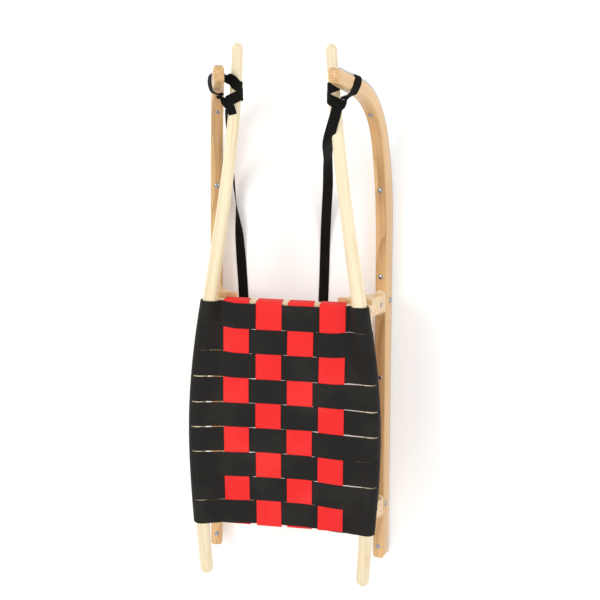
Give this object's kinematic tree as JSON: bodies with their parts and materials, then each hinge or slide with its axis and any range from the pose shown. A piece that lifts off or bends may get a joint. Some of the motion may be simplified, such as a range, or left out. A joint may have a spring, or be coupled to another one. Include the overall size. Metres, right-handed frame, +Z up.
{
  "type": "two-seater wooden sled",
  "caption": "Wooden touring sled with upturned runners, steel shoes, round seat rails, a woven webbing seat and a webbing pull strap.",
  "frame": {"origin": "on the floor under the middle of the sled's length, between its runners", "axes": "+X forward towards the upturned horns, +Y left, +Z up"},
  "size_m": [1.0711, 0.3902, 0.2891],
  "materials": {
    "runner_wood": "clear varnish, satin",
    "leg_wood": "clear varnish, satin",
    "rail_wood": "clear varnish, satin",
    "collar_wood": "clear varnish, satin",
    "shoe_steel": "bright rolled steel",
    "black_webbing": "flat woven webbing",
    "red_webbing": "flat woven webbing"
  },
  "bodies": {
    "root": {"left_runner": "runner_wood", "right_runner": "runner_wood", "left_runner_shoe": "shoe_steel", "right_runner_shoe": "shoe_steel", "left_seat_rail": "rail_wood", "right_seat_rail": "rail_wood", "front_crossbeam": "leg_wood", "rear_crossbeam": "leg_wood", "front_left_leg": "leg_wood", "front_right_leg": "leg_wood", "rear_left_leg": "leg_wood", "rear_right_leg": "leg_wood", "front_left_collar": "collar_wood", "front_right_collar": "collar_wood", "rear_left_collar": "collar_wood", "rear_right_collar": "collar_wood", "seat_cross_bands": "black_webbing", "seat_length_bands": "red_webbing", "left_strap_tie": "black_webbing", "right_strap_tie": "black_webbing", "pull_strap": "black_webbing"}
  },
  "joints": []
}
